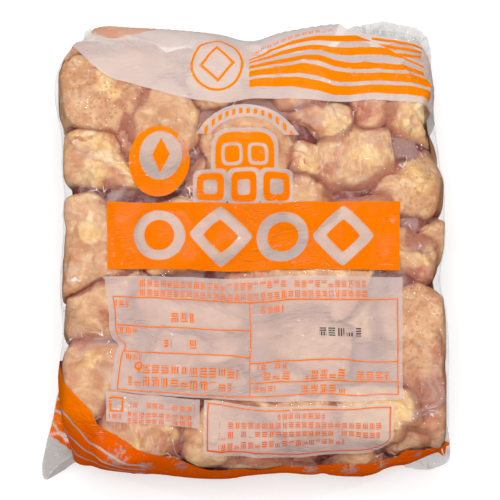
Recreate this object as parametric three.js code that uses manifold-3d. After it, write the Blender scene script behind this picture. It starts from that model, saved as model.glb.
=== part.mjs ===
// A sealed clear bag of frozen raw chicken wings, the upper joint of the wing, lying on its back.
// The film is drawn down over the wings, so the bag is one closed solid whose outside is the film
// round the packed wings, with its loose corners standing out at both ends.
// Millimetres. +X across the bag, +Y towards its top end, +Z up out of the printed face.
// The origin is on the surface that the bag lies on, under the middle of the bag.

import * as THREE from "three";
import { mergeVertices } from "three/addons/utils/BufferGeometryUtils.js";
import Module from "manifold-3d";

// The filled part of the bag
const BAG_WIDTH = 232;
const BAG_LENGTH = 266;
const BAG_THICKNESS = 56;
const MID_HEIGHT = BAG_THICKNESS / 2;

// One wing: a round meaty end, a waist and a knuckle. girth is a share of the meaty end's radius.
const WING_FLATNESS = 0.88; // height over width, pressed by its neighbours
const WING_PROFILE = [
  { along: 0, girth: 1 },
  { along: 0.2, girth: 0.99 },
  { along: 0.42, girth: 0.88 },
  { along: 0.68, girth: 0.68 },
  { along: 1, girth: 0.62 },
];

// The upper layer of wings as packed: the middle of the meaty end, its radius, and the knuckle
const UPPER_WINGS = [
  { meat: [-95, 99, 35], girth: 24, knuckle: [-40, 113, 34] },
  { meat: [-54, 78, 37], girth: 21.5, knuckle: [-52, 18, 36] },
  { meat: [-94, 45, 33], girth: 21, knuckle: [-99, 66, 44] },
  { meat: [-95, -8, 34], girth: 20, knuckle: [-99, 17, 43] },
  { meat: [-96, -46, 35], girth: 19, knuckle: [-66, -24, 38] },
  { meat: [-98, -83, 35], girth: 20, knuckle: [-44, -92, 34] },
  { meat: [-78, -111, 34], girth: 20, knuckle: [-20, -104, 32] },
  { meat: [-24, -114, 34], girth: 19, knuckle: [32, -120, 31] },
  { meat: [36, -108, 35], girth: 20, knuckle: [-18, -98, 33] },
  { meat: [80, -107, 36], girth: 19, knuckle: [26, -96, 34] },
  { meat: [101, -110, 30], girth: 17, knuckle: [104, -66, 28] },
  { meat: [96, -42, 36], girth: 21, knuckle: [100, -92, 36] },
  { meat: [54, 4, 37], girth: 20, knuckle: [104, -9, 39] },
  { meat: [97, 38, 35], girth: 18, knuckle: [50, 30, 38] },
  { meat: [67, 57, 37], girth: 20, knuckle: [28, 50, 40] },
  { meat: [47, 78, 39], girth: 17, knuckle: [16, 88, 34] },
  { meat: [73, 88, 36], girth: 17, knuckle: [60, 122, 30] },
  { meat: [93, 80, 36], girth: 18, knuckle: [94, 120, 28] },
  { meat: [-4, 66, 37], girth: 22, knuckle: [8, 8, 36] },
  { meat: [-26, 106, 36], girth: 20, knuckle: [32, 112, 34] },
  { meat: [30, 106, 36], girth: 20, knuckle: [84, 108, 32] },
  { meat: [-53, 4, 37], girth: 21, knuckle: [6, 0, 35] },
  { meat: [-57, -40, 37], girth: 20, knuckle: [0, -46, 35] },
  { meat: [-48, -74, 37], girth: 20, knuckle: [10, -74, 36] },
  { meat: [50, -36, 37], girth: 21, knuckle: [-8, -22, 35] },
  { meat: [46, -72, 37], girth: 20, knuckle: [-12, -58, 34] },
];

// The lower layer lies in three columns of even rows, the outer wings with their knuckles inward,
// and each wing is nudged by a fixed rule
const LOWER_COLUMNS = [
  { x: -93, side: 1 },
  { x: 12, side: -1 },
  { x: 93, side: -1 },
];
const LOWER_ROWS = 6;
const LOWER_PITCH = 43;
const LOWER_HEIGHT = 15;
const LOWER_GIRTH = 18.5;
const LOWER_REACH = 56;
const LOWER_NUDGE = 8;
const LOWER_TWIST = 0.5; // radians between the most and the least turned

// The top end is folded over, with air in the fold that holds it out past the wings
const FOLD_RADIUS = 5;
const FOLD_HEIGHT = 28;
const FOLD_LINE = [
  [-101, 126], [-94, 137], [-74, 139], [-48, 138], [-22, 135], [-2, 130],
  [20, 137], [52, 142], [72, 138], [94, 135], [102, 124],
];
const FOLD_STEPS = 5; // balls between one point of the line and the next

// The film is drawn into the gaps until it curves this much, in 1/mm
const FILM_DRAW = 0.05;
const FILM_PASSES = 220;
const FILM_GAP = 0.5; // film over the meat
const PRESS_SOFTNESS = 1.5; // how gently the wings' tops are pressed level
const LEAST_REACH = 0.5; // the film stays out at least this share of the mid height

const CELLS_ACROSS = 40;
const CELLS_ALONG = 46;
const CELLS_DEEP = 8;

// Loose film at the corners: each ear is the hull of points in the bag and points at its edge
const EAR_THICKNESS = 1.8;
const EARS = [
  {
    name: "bottom left",
    root: [[-106, -70, 32], [-74, -124, 30], [-92, -112, 40], [-98, -98, 4]],
    edge: [
      [-119, -90, 20], [-123, -104, 13], [-126.5, -116, 6], [-128.5, -129, 0],
      [-127, -135, 0], [-118, -133, 0], [-106, -131, 4], [-94, -130, 10],
    ],
  },
  {
    name: "bottom right",
    root: [[108, -84, 22], [78, -118, 22], [98, -104, 30], [96, -100, 3]],
    edge: [
      [118, -106, 8], [119, -121.5, 0], [113.5, -125.5, 0], [104, -129.5, 0], [92, -128, 5],
    ],
  },
  {
    name: "top right",
    root: [[54, 112, 12], [54, 112, 30], [98, 96, 12], [98, 96, 30]],
    edge: [
      [60, 145, 20], [70, 148.5, 19], [82, 149, 18], [92, 146.5, 17], [103, 144, 16],
      [107, 138, 16], [108.5, 124, 17], [107, 112, 20],
    ],
  },
  {
    name: "top left",
    root: [[-100, 96, 12], [-84, 112, 12], [-88, 108, 30]],
    edge: [[-107, 128, 22], [-104, 139, 22], [-99, 144, 22], [-88, 144, 22]],
  },
];

// A repeatable number from -0.5 to 0.5 for step i of sequence k
const STEPS = [0.7548776662, 0.569840291, 0.8191725134];
function nudge(i, k) {
  return (((i + 1) * STEPS[k]) % 1) - 0.5;
}

function lowerWings() {
  const wings = [];
  for (let row = 0; row < LOWER_ROWS; row++) {
    LOWER_COLUMNS.forEach(({ x: columnX, side }, column) => {
      const i = row * LOWER_COLUMNS.length + column;
      const x = columnX + LOWER_NUDGE * nudge(i, 0) * (column === 1 ? 2 : 1);
      const y = (row - (LOWER_ROWS - 1) / 2) * LOWER_PITCH + LOWER_NUDGE * nudge(i, 1);
      const turn = LOWER_TWIST * nudge(i, 2);
      wings.push({
        meat: [x, y, LOWER_HEIGHT],
        girth: LOWER_GIRTH * (1 + 0.12 * nudge(i, 1)),
        knuckle: [
          x + side * LOWER_REACH * Math.cos(turn),
          y + LOWER_REACH * Math.sin(turn),
          LOWER_HEIGHT,
        ],
      });
    });
  }
  return wings;
}

function wingBalls({ meat, girth, knuckle }) {
  const from = new THREE.Vector3(...meat);
  const to = new THREE.Vector3(...knuckle);
  return WING_PROFILE.map((step) => ({
    middle: from.clone().lerp(to, step.along),
    radius: step.girth * girth,
  }));
}

function foldBalls() {
  const line = new THREE.CatmullRomCurve3(
    FOLD_LINE.map(([x, y]) => new THREE.Vector3(x, y, FOLD_HEIGHT)),
  );
  const steps = (FOLD_LINE.length - 1) * FOLD_STEPS;
  return line.getPoints(steps).map((middle) => ({ middle, radius: FOLD_RADIUS }));
}

// How far along a ray from start the outside of a flattened ball lies, or 0 where it misses
function reachOfBall(start, way, ball) {
  const p = start.clone().sub(ball.middle);
  p.z /= WING_FLATNESS;
  const d = new THREE.Vector3(way.x, way.y, way.z / WING_FLATNESS);
  const a = d.dot(d);
  const b = p.dot(d);
  const under = b * b - a * (p.dot(p) - ball.radius ** 2);
  return under <= 0 ? 0 : Math.max(0, (-b + Math.sqrt(under)) / a);
}

// The smaller of two lengths, with the corner between them rounded
function softLeast(a, b) {
  const s = PRESS_SOFTNESS;
  const least = Math.min(a, b);
  return least - s * Math.log(Math.exp((least - a) / s) + Math.exp((least - b) / s));
}

// For each grid vertex: where its ray starts on the bag's middle plane, and its way out
function raysOf(positions) {
  const coreX = BAG_WIDTH / 2 - MID_HEIGHT;
  const coreY = BAG_LENGTH / 2 - MID_HEIGHT;
  return Array.from({ length: positions.count }, (_, i) => {
    const p = new THREE.Vector3().fromBufferAttribute(positions, i);
    const start = new THREE.Vector3(
      THREE.MathUtils.clamp(p.x, -coreX, coreX),
      THREE.MathUtils.clamp(p.y, -coreY, coreY),
      0,
    );
    const way = p.sub(start).normalize();
    start.z = MID_HEIGHT;
    return { start, way };
  });
}

function neighboursOf(index, count) {
  const near = Array.from({ length: count }, () => new Set());
  for (let i = 0; i < index.count; i += 3) {
    for (let j = 0; j < 3; j++) {
      const a = index.getX(i + j);
      const b = index.getX(i + ((j + 1) % 3));
      near[a].add(b);
      near[b].add(a);
    }
  }
  return near.map((others) => [...others]);
}

// The filled part: a rounded slab whose every vertex is drawn in along its ray to what holds it
function filledBag() {
  const grid = new THREE.BoxGeometry(
    BAG_WIDTH, BAG_LENGTH, BAG_THICKNESS, CELLS_ACROSS, CELLS_ALONG, CELLS_DEEP,
  );
  grid.deleteAttribute("normal");
  grid.deleteAttribute("uv");
  const geometry = mergeVertices(grid, 1e-3);
  const positions = geometry.getAttribute("position");
  const rays = raysOf(positions);
  const near = neighboursOf(geometry.index, positions.count);
  const balls = [...UPPER_WINGS, ...lowerWings()].flatMap(wingBalls).concat(foldBalls());

  const floor = rays.map(({ way }) => (way.z < 0 ? MID_HEIGHT / -way.z : Infinity));
  const held = rays.map(({ start, way }, i) => {
    const out = Math.max(...balls.map((ball) => reachOfBall(start, way, ball))) + FILM_GAP;
    const top = way.z > 0 ? softLeast(out, MID_HEIGHT / way.z) : out;
    return Math.min(Math.max(top, LEAST_REACH * MID_HEIGHT), floor[i]);
  });

  const cell = BAG_WIDTH / CELLS_ACROSS;
  const sag = (FILM_DRAW * cell * cell) / 4;
  let film = held.slice();
  for (let pass = 0; pass < FILM_PASSES; pass++) {
    film = film.map((_, i) => {
      const mean = near[i].reduce((sum, j) => sum + film[j], 0) / near[i].length;
      return Math.max(held[i], Math.min(mean - sag, floor[i]));
    });
  }

  rays.forEach(({ start, way }, i) => {
    const p = start.clone().addScaledVector(way, film[i]);
    positions.setXYZ(i, p.x, p.y, film[i] > floor[i] - 1e-3 ? 0 : p.z);
  });
  return geometry;
}

function toManifold(wasm, geometry) {
  return new wasm.Manifold(new wasm.Mesh({
    numProp: 3,
    vertProperties: new Float32Array(geometry.getAttribute("position").array),
    triVerts: new Uint32Array(geometry.index.array),
  }));
}

function toGeometry(solid) {
  const mesh = solid.getMesh();
  const geometry = new THREE.BufferGeometry();
  geometry.setAttribute("position", new THREE.BufferAttribute(mesh.vertProperties, 3));
  geometry.setIndex(new THREE.BufferAttribute(mesh.triVerts, 1));
  return geometry;
}

function earSolid(wasm, { root, edge }) {
  const lifted = edge.map(([x, y, z]) => [x, y, z + EAR_THICKNESS]);
  return wasm.Manifold.hull([...root, ...edge, ...lifted]);
}

async function main() {
  const wasm = await Module();
  wasm.setup();
  const solid = EARS.reduce(
    (bag, ear) => bag.add(earSolid(wasm, ear)),
    toManifold(wasm, filledBag()),
  );
  const geometry = toGeometry(solid);
  geometry.computeBoundingBox();
  const { min, max } = geometry.boundingBox;
  geometry.translate(-(min.x + max.x) / 2, -(min.y + max.y) / 2, 0);

  const bag = new THREE.Mesh(
    geometry,
    new THREE.MeshStandardMaterial({ color: 0xdcae86, roughness: 0.3, metalness: 0 }),
  );
  bag.name = "wing_bag";
  const group = new THREE.Group();
  group.add(bag);
  return group;
}

export default await main();
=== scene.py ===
"""A sealed clear film bag of frozen raw chicken wings, lying on its back on a light table.

The wings are modelled one by one, the film is drawn down over them, and its creases, loose corners
and plain print follow. Work is in millimetres from the wing list's own origin. A finished piece is
moved to the frame's origin and metres.
"""

import math
from functools import partial

import bmesh
import bpy
import numpy as np
from mathutils import Matrix, Vector
from mathutils.bvhtree import BVHTree
from mathutils.kdtree import KDTree


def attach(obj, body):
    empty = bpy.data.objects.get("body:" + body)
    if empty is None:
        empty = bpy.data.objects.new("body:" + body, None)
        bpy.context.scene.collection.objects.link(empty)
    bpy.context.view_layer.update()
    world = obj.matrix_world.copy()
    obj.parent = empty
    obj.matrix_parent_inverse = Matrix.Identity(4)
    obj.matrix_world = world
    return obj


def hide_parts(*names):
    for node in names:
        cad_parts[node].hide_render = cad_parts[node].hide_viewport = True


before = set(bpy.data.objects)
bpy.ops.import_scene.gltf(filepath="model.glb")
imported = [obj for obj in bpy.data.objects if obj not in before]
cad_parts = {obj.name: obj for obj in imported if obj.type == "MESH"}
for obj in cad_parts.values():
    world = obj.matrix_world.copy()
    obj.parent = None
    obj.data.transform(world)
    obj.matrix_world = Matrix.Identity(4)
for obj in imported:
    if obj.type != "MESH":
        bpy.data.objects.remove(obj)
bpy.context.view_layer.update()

# The filled part of the bag, and the way from the wing list's origin to the frame's
BAG_SIZE = np.array([232.0, 266.0, 56.0])
MID = BAG_SIZE[2] / 2
CORE = np.array([BAG_SIZE[0] / 2 - MID, BAG_SIZE[1] / 2 - MID, 0.0])
LIST_TO_FRAME = np.array([4.75, -7.0, 0.0])
UP = np.array([0.0, 0.0, 1.0])

# One wing: a round meaty end, a waist and a knuckle. Girths are shares of the meaty end's radius.
WING_FLATNESS = 0.88
WING_SPREAD = 1.16  # pressed out sideways, against its neighbours
WING_ALONG = [0, 0.2, 0.42, 0.68, 1]
WING_GIRTH = [1.06, 1.04, 0.88, 0.64, 0.6]
UPPER_TURNS, UPPER_RINGS = 60, 66
LOWER_TURNS, LOWER_RINGS = 40, 44
CROWDING = 0.4  # how far a wing's vertices crowd towards its upper side
TWO_LOBES, THREE_LOBES = 0.05, 0.045  # shares of the radius, round the wing
KNUCKLE_FLATNESS = 0.12
WING_BEND = 0.06  # share of the wing's length
SKIN_WAVES = [(1.2, 42), (0.6, 17), (0.2, 7)]  # height and length
SKIN_FOLD_LENGTH, SKIN_FOLD_WIDTH, SKIN_FOLD_DEPTH = 34, 0.13, 1.3
PACK_BENDS = [(2.8, 75, 61), (1.5, 30, 64)]  # amount, length and seed
PACK_BEND_WAYS = (1, 1, 0.4)  # shares of a bend along x, y and z
WING_LIFT, LIFT_FROM, LIFT_FULL = 2.0, 20, 40  # what lies high is lifted towards the film
PRESSED_TOP = 55.6
PRESSED_FLOOR = 0.5
PRESSED_SIDE = 116.5
LEFT_BULGE, BULGE_FROM, BULGE_FULL = 3.8, 68, 90  # the top left wing stands out further
PRESSED_END = 137
PRESSED_SOFTNESS = {"top": 2.0, "floor": 1.0, "side": 2.5}

# Upper wings as packed: middle of the meaty end, its radius, knuckle, and what the surface is
UPPER_WINGS = [
    ((-95, 99, 35), 24, (-40, 113, 34), "pimpled"),
    ((-54, 78, 37), 21.5, (-53, 48, 34), "smooth"),
    ((-94, 45, 33), 21, (-99, 66, 44), "fatty"),
    ((-95, -16, 34), 21.5, (-99, 17, 43), "smooth"),
    ((-96, -46, 35), 19, (-66, -24, 38), "smooth"),
    ((-98, -83, 35), 20, (-44, -92, 34), "smooth"),
    ((-78, -111, 34), 20, (-20, -104, 32), "fleshy"),
    ((-24, -114, 34), 19, (32, -120, 31), "smooth"),
    ((36, -108, 35), 20, (-18, -98, 33), "pimpled"),
    ((80, -107, 36), 19, (26, -96, 34), "fatty"),
    ((101, -110, 30), 17, (104, -66, 28), "smooth"),
    ((96, -42, 36), 21, (100, -92, 36), "pimpled"),
    ((54, 4, 37), 20, (104, -9, 39), "smooth"),
    ((97, 38, 35), 18, (50, 30, 38), "pimpled"),
    ((67, 57, 37), 20, (28, 50, 40), "streaky"),
    ((47, 78, 39), 17, (16, 88, 34), "smooth"),
    ((73, 88, 36), 17, (60, 122, 30), "fleshy"),
    ((93, 80, 36), 18, (94, 120, 28), "fatty"),
    ((-4, 66, 37), 22, (8, 8, 36), "smooth"),
    ((-26, 106, 36), 20, (32, 112, 34), "fatty"),
    ((30, 106, 36), 20, (84, 108, 32), "fleshy"),
    ((-53, 4, 37), 21, (6, 0, 35), "smooth"),
    ((-57, -40, 37), 20, (0, -46, 35), "smooth"),
    ((-48, -74, 37), 20, (10, -74, 36), "fleshy"),
    ((50, -36, 37), 21, (-8, -22, 35), "smooth"),
    ((46, -72, 37), 20, (-12, -58, 34), "smooth"),
    ((-26, 36, 33), 17, (-34, 66, 32), "fleshy"),
    ((32, 24, 34), 19, (66, 34, 32), "smooth"),
    ((72, -54, 34), 18, (72, -20, 32), "fatty"),
    ((-22, -84, 33), 18, (-60, -96, 32), "smooth"),
    ((-78, -60, 32), 17, (-74, -24, 32), "fleshy"),
    ((76, 20, 33), 17, (40, 8, 32), "fatty"),
    ((-78, 72, 32), 17, (-78, 30, 32), "fleshy"),
    ((16, -88, 33), 18, (52, -90, 32), "fatty"),
    ((-10, -120, 26), 17, (32, -123, 24), "pimpled"),
    ((-52, -119, 26), 16, (-84, -112, 24), "smooth"),
    ((64, -118, 26), 17, (30, -122, 24), "smooth"),
    ((88, -117, 31), 17, (90, -94, 28), "smooth"),
    ((-103, 121, 31), 14.5, (-66, 124, 30), "pimpled"),
    ((102, 8, 31), 15, (101, -24, 28), "fatty"),
]

# The lower layer lies in three columns, and a fixed rule nudges each wing
LOWER_COLUMNS = [(-93, 1), (12, -1), (93, -1)]  # x, and which way the wings point
LOWER_LOOKS = ("smooth", "pimpled", "fatty", "smooth", "fleshy")
LOWER_ROWS = 6
LOWER_PITCH = 43
LOWER_HEIGHT = 15
LOWER_GIRTH, LOWER_GIRTH_SPREAD = 18.5, 0.12
LOWER_REACH = 56
LOWER_NUDGE = 8
LOWER_TWIST = 0.5
STEPS = (0.7548776662, 0.569840291, 0.8191725134)  # a nudge goes on by these and never repeats

# The top end is folded over, and air in the fold holds it out past the wings
FOLD_RADIUS = 5
FOLD_HEIGHT = 28
FOLD_LINE = [
    (-102, 132), (-94, 140), (-74, 139.5), (-48, 138), (-22, 135), (-2, 130),
    (20, 137), (52, 142), (72, 138), (94, 135), (102, 124),
]

# The hem of the bottom end, tucked under the bag
HEM_RADIUS = 4
HEM_HEIGHT = 8
HEM_LINE = [
    (-97, -121), (-82, -124.7), (-63, -127.2), (-45, -130.4), (-30, -131.7), (-15, -131.7),
    (-2, -128.5), (28, -126), (46, -124.7), (65, -123.4), (77, -122),
]

UNDERSIDE = -0.999  # the sheet's third number is this or less on the faces the bag lies on

# The film: cells across, along and deep, and how it is drawn into the gaps
FILM_CELLS = (200, 230, 28)
JUICE_CELLS = (90, 104, 12)
FILM_DRAW = 0.03
FILM_PASSES, JUICE_PASSES = 900, 200
FILM_GAP = 0.5
LEAST_REACH = 0.5  # share of half the bag's height
FAR_OUT = 90.0  # outside all wings, from the middle plane
JUICE_DEPTH = 5.0  # frozen juice fills the gaps up to this far below the film
DEEP = 14.0  # this far below the film the meat's painted shade and red-brown tint are full

# What may mark a wing, and how far each kind of surface leans to the first four
KINDS = ("fat", "flesh", "pimples", "streaks", "gristle", "blood")
LOOKS = {
    "smooth": (-0.75, -1.2, -1.0, -0.8),
    "pimpled": (-0.8, -1.3, 1.0, -0.8),
    "fatty": (0.35, -1.1, -0.8, -0.4),
    "fleshy": (-0.7, 0.2, -1.0, 0.0),
    "streaky": (-0.4, -0.8, -1.0, 1.0),
}
NEVER = -1.2
LOOK_PATCHES = [(0.4, 20, 900), (0.15, 8, 950)]  # amount, length and seed
UPPER_SEED, LOWER_SEED = 100, 700
SKIN_LOOKS = ("smooth", "pimpled", "streaky")
CUT_LOOKS = ("fatty", "fleshy")


def nudge(step, k):
    """A repeatable number from -0.5 to 0.5."""
    return ((step + 1) * STEPS[k]) % 1 - 0.5


def smooth_step(low, high, value):
    """0 up to low and 1 from high on, with a smooth rise between them."""
    t = np.clip((value - low) / (high - low), 0, 1)
    return t * t * (3 - 2 * t)


def waves(points, length, seed, count=20):
    """Smooth noise of about unit spread: plane waves near one wavelength in seeded directions."""
    rng = np.random.default_rng(seed)
    ways = rng.normal(size=(count, points.shape[1]))
    ways /= np.linalg.norm(ways, axis=1)[:, None]
    ways *= (2 * math.pi / length * rng.uniform(0.7, 1.4, count))[:, None]
    turns = rng.uniform(0, 2 * math.pi, count)
    return np.sin(points @ ways.T + turns).sum(1) / math.sqrt(count / 2)


def warped(points, length, amount, seed):
    """The x and y of these points, carried aside by smooth noise."""
    return points[:, :2] + amount * np.stack([waves(points, length, seed + k) for k in (0, 1)], 1)


def soft_least(a, b, softness):
    """The lesser of two numbers, with a rounded corner where they are alike."""
    least = np.minimum(a, b)
    shares = np.exp((least - a) / softness) + np.exp((least - b) / softness)
    return least - softness * np.log(shares)


def lower_wings():
    """The lower layer's wings, in the same form as UPPER_WINGS."""
    wings = []
    for row in range(LOWER_ROWS):
        for column, (column_x, side) in enumerate(LOWER_COLUMNS):
            i = row * len(LOWER_COLUMNS) + column
            x = column_x + LOWER_NUDGE * nudge(i, 0) * (2 if column == 1 else 1)
            y = (row - (LOWER_ROWS - 1) / 2) * LOWER_PITCH + LOWER_NUDGE * nudge(i, 1)
            turn = LOWER_TWIST * nudge(i, 2)
            knuckle = (
                x + side * LOWER_REACH * math.cos(turn),
                y + LOWER_REACH * math.sin(turn),
                LOWER_HEIGHT,
            )
            look = LOWER_LOOKS[i % len(LOWER_LOOKS)]
            girth = LOWER_GIRTH * (1 + LOWER_GIRTH_SPREAD * nudge(i, 1))
            wings.append(((x, y, LOWER_HEIGHT), girth, knuckle, look))
    return wings


def wing_outline(girth, length):
    """Radius at each place along a wing's middle line: the envelope of its balls."""
    balls_at = np.linspace(0, length, 80)
    balls = np.interp(balls_at / length, WING_ALONG, WING_GIRTH) * girth
    along = np.linspace(-girth, length + WING_GIRTH[-1] * girth, 240)
    square = balls[None, :] ** 2 - (along[:, None] - balls_at[None, :]) ** 2
    return along, np.sqrt(np.maximum(square.max(1), 0))


def wing_surface(sphere, wing, seed):
    """Where a unit sphere's vertices lie on one wing, their way out, and where skin folds in."""
    meat, girth, knuckle, _ = wing
    rng = np.random.default_rng(seed)
    meat, knuckle = np.array(meat, float), np.array(knuckle, float)
    length = np.linalg.norm(knuckle - meat)
    axis = (knuckle - meat) / length
    side = np.cross(UP, axis)
    side /= np.linalg.norm(side)
    top = np.cross(axis, side)

    polar = np.arccos(np.clip(sphere[:, 2], -1, 1))
    turn = np.arctan2(sphere[:, 1], sphere[:, 0])
    turn = turn + CROWDING * np.cos(turn)
    steps, radii = wing_outline(girth, length)
    along = steps[0] + (steps[-1] - steps[0]) * (1 - np.cos(polar)) / 2
    radius = np.interp(along, steps, radii)
    share = np.clip(along / length, 0, 1)
    two, three = rng.uniform(0, 2 * math.pi, 2)
    lobes = TWO_LOBES * np.cos(2 * turn - two) + THREE_LOBES * np.cos(3 * turn - three)
    radius = radius * (1 + lobes)
    radius *= 1 + KNUCKLE_FLATNESS * smooth_step(0.75, 1.0, share) * np.cos(2 * turn)
    bend = rng.uniform(-WING_BEND, WING_BEND) * length
    out = WING_SPREAD * np.cos(turn)[:, None] * side + WING_FLATNESS * np.sin(turn)[:, None] * top
    middle = meat + along[:, None] * axis + (bend * np.sin(math.pi * share))[:, None] * side
    places = middle + radius[:, None] * out

    lie = places - meat
    folds = np.exp(-(waves(lie, SKIN_FOLD_LENGTH, seed + 1) / SKIN_FOLD_WIDTH) ** 2)
    relief = -SKIN_FOLD_DEPTH * folds
    for k, (height, wave_length) in enumerate(SKIN_WAVES):
        relief += height * waves(lie, wave_length, seed + 2 + k)
    away = out / np.linalg.norm(out, axis=1)[:, None]
    tip = smooth_step(0.0, 0.35, radius / girth)
    places = places + away * (relief * tip)[:, None]
    return places, away, folds


def mesh_from(build, name):
    """A finished bmesh as a mesh of this name."""
    mesh = bpy.data.meshes.new(name)
    build.to_mesh(mesh)
    build.free()
    return mesh


def unit_spheres(name, count, turns, rings):
    """One mesh of this many unit spheres, its vertices' places, and which sphere each is on."""
    single = bmesh.new()
    bmesh.ops.create_uvsphere(single, u_segments=turns, v_segments=rings, radius=1)
    mesh = mesh_from(single, name)
    number = mesh.attributes.new("number", "INT", "POINT")
    build = bmesh.new()
    for i in range(count):
        number.data.foreach_set("value", np.full(len(mesh.vertices), i, np.int32))
        build.from_mesh(mesh)
    build.to_mesh(mesh)
    build.free()
    numbers = np.zeros(len(mesh.vertices), np.int32)
    mesh.attributes["number"].data.foreach_get("value", numbers)
    mesh.attributes.remove(mesh.attributes["number"])
    return mesh, vertex_places(mesh), numbers


def vertex_places(mesh):
    """Where a mesh's vertices are, a row for each."""
    places = np.zeros(len(mesh.vertices) * 3, np.float32)
    mesh.vertices.foreach_get("co", places)
    return places.reshape(-1, 3).astype(float)


def move_vertices(mesh, places):
    """Puts a mesh's vertices at these places."""
    mesh.vertices.foreach_set("co", places.astype(np.float32).ravel())
    mesh.update()


# Spots on the upper wings: what it is, where (x, y), half width and half length, turn in degrees,
# and how far it stands up
SPOTS = [
    ("pimples", -106, 109, 17, 16, 0, 0.0),
    ("blood", -100.5, 100, 3, 2.4, 0, 0.0),
    ("fat", -89, 98, 5, 11, 30, 0.8),
    ("blood", -79, 84, 3, 8, 20, 0.0),
    ("fat", -34, 79, 9, 7, 0, 1.0),
    ("fat", -94, 60, 6, 9, 20, 2.6),
    ("gristle", -91, 55, 4, 6, 20, 1.4),
    ("gristle", -102, 71, 4, 2.6, 0, 1.2),
    ("blood", -105, 66, 9, 3, 20, 0.0),
    ("blood", -84, 66, 6, 6, 0, 0.0),
    ("fat", -97, 38, 6, 13, -14, 1.6),
    ("flesh", -82, 37, 6, 10, 20, 0.0),
    ("gristle", -99, 17, 3, 2.6, 0, 1.5),
    ("fat", -100, 6, 7, 9, 0, 0.5),
    ("flesh", -83, -6, 6, 12, 0, 0.0),
    ("blood", -88, -46, 8, 5, 0, 0.0),
    ("flesh", -108, -62, 8, 6, 0, 0.0),
    ("fat", -98, -72, 6, 6, 0, 1.0),
    ("flesh", -80, -108, 12, 9, 0, 0.0),
    ("fat", -48, -118, 9, 6, 0, 0.8),
    ("pimples", -15, -128, 18, 8, 0, 0.0),
    ("flesh", 31, 77, 12, 12, 0, 0.0),
    ("fat", 49, 75, 15, 9, -15, 0.6),
    ("blood", 67, 83, 6, 6, 0, 0.0),
    ("flesh", 69, 85, 7, 6, 0, 0.6),
    ("streaks", 77, 76, 10, 8, 0, 0.0),
    ("fat", 98, 83, 9, 8, 0, 1.0),
    ("gristle", 101, 85, 5, 4, 0, 0.6),
    ("gristle", 28, 60, 4.5, 7, -10, 2.4),
    ("fat", 33, 50, 6, 8, 0, 0.8),
    ("blood", 33, 49, 1.6, 2.4, 0, 0.0),
    ("flesh", 44, 45, 8, 6, 0, 0.0),
    ("streaks", 67, 54, 14, 16, 0, 0.0),
    ("fat", 100, 41, 10, 9, 0, 0.6),
    ("pimples", 98, 38, 16, 12, 0, 0.0),
    ("pimples", 74, 36, 12, 5, 20, 0.0),
    ("fat", 104, 8, 4, 4, 0, 1.6),
    ("fat", 108, 1, 4, 5, 0, 1.6),
    ("fat", 103, -7, 5, 3.4, 0, 1.4),
    ("blood", 107, 4, 5, 3, 0, 0.0),
    ("blood", 98, -20, 9, 6, 0, 0.0),
    ("flesh", 106, -16, 8, 5, 0, 0.0),
    ("pimples", 97, -62, 16, 30, 0, 0.0),
    ("flesh", 112, -72, 5, 18, 0, 0.0),
    ("fat", 90, -104, 12, 8, 0, 0.4),
    ("flesh", 107, -112, 7, 8, 0, 0.4),
    ("blood", 102, -98, 5, 3, 0, 0.0),
    ("flesh", -22, 62, 5, 14, 0, 0.0),
    ("flesh", -4, -18, 12, 5, 0, 0.0),
]
SPOTS_FROM, SPOTS_FULL = 26, 38  # spots mark only what lies this high
SPOT_WARP = (11, 1.6, 71)  # length, amount and seed of the noise that makes spots uneven
SEAM = 7.0  # a wing gets a reddish tint and painted shade this far round where it meets another


def spot_weights(places):
    """How strongly each kind of spot marks each place, and how far the spots raise it."""
    marks = {kind: np.zeros(len(places)) for kind in KINDS}
    rise = np.zeros(len(places))
    flat = warped(places, *SPOT_WARP)
    upper = smooth_step(SPOTS_FROM, SPOTS_FULL, places[:, 2])
    for kind, x, y, across, along, degrees, height in SPOTS:
        turn = math.radians(degrees)
        dx, dy = flat[:, 0] - x, flat[:, 1] - y
        u = (dx * math.cos(turn) + dy * math.sin(turn)) / across
        v = (dy * math.cos(turn) - dx * math.sin(turn)) / along
        near = u * u + v * v
        marks[kind] = np.maximum(marks[kind], upper * (1 - smooth_step(0.45, 1.35, near)))
        rise += upper * height * np.exp(-1.4 * near)
    return marks, rise


def packed(places):
    """Bends all wings alike, as pieces frozen in one block bend round each other."""
    ways = [sum(amount * waves(places, length, seed + k) for amount, length, seed in PACK_BENDS)
            for k in range(3)]
    shift = np.stack(ways, 1) * PACK_BEND_WAYS
    shift[:, 2] += WING_LIFT * smooth_step(LIFT_FROM, LIFT_FULL, places[:, 2])
    return places + shift


def gap_to(places, wing):
    """How far each place lies outside a wing, taken as a row of balls along its middle line."""
    meat, girth, knuckle, _ = wing
    meat, knuckle = np.array(meat, float), np.array(knuckle, float)
    axis = knuckle - meat
    share = np.clip((places - meat) @ axis / (axis @ axis), 0, 1)
    away = np.linalg.norm(places - meat - share[:, None] * axis, axis=1)
    return away - girth * np.interp(share, WING_ALONG, WING_GIRTH)


def pressed(at):
    """Wings pressed level at the top and below, and held in at the sides and ends by the film."""
    at[:, 2] = soft_least(at[:, 2], PRESSED_TOP, PRESSED_SOFTNESS["top"])
    at[:, 2] = -soft_least(-at[:, 2], -PRESSED_FLOOR, PRESSED_SOFTNESS["floor"])
    bulge = LEFT_BULGE * smooth_step(BULGE_FROM, BULGE_FULL, at[:, 1]) * (at[:, 0] < 0)
    for axis, limit in ((0, PRESSED_SIDE + bulge), (1, PRESSED_END)):
        far = soft_least(np.abs(at[:, axis]), limit, PRESSED_SOFTNESS["side"])
        at[:, axis] = np.sign(at[:, axis]) * far
    return at


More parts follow.
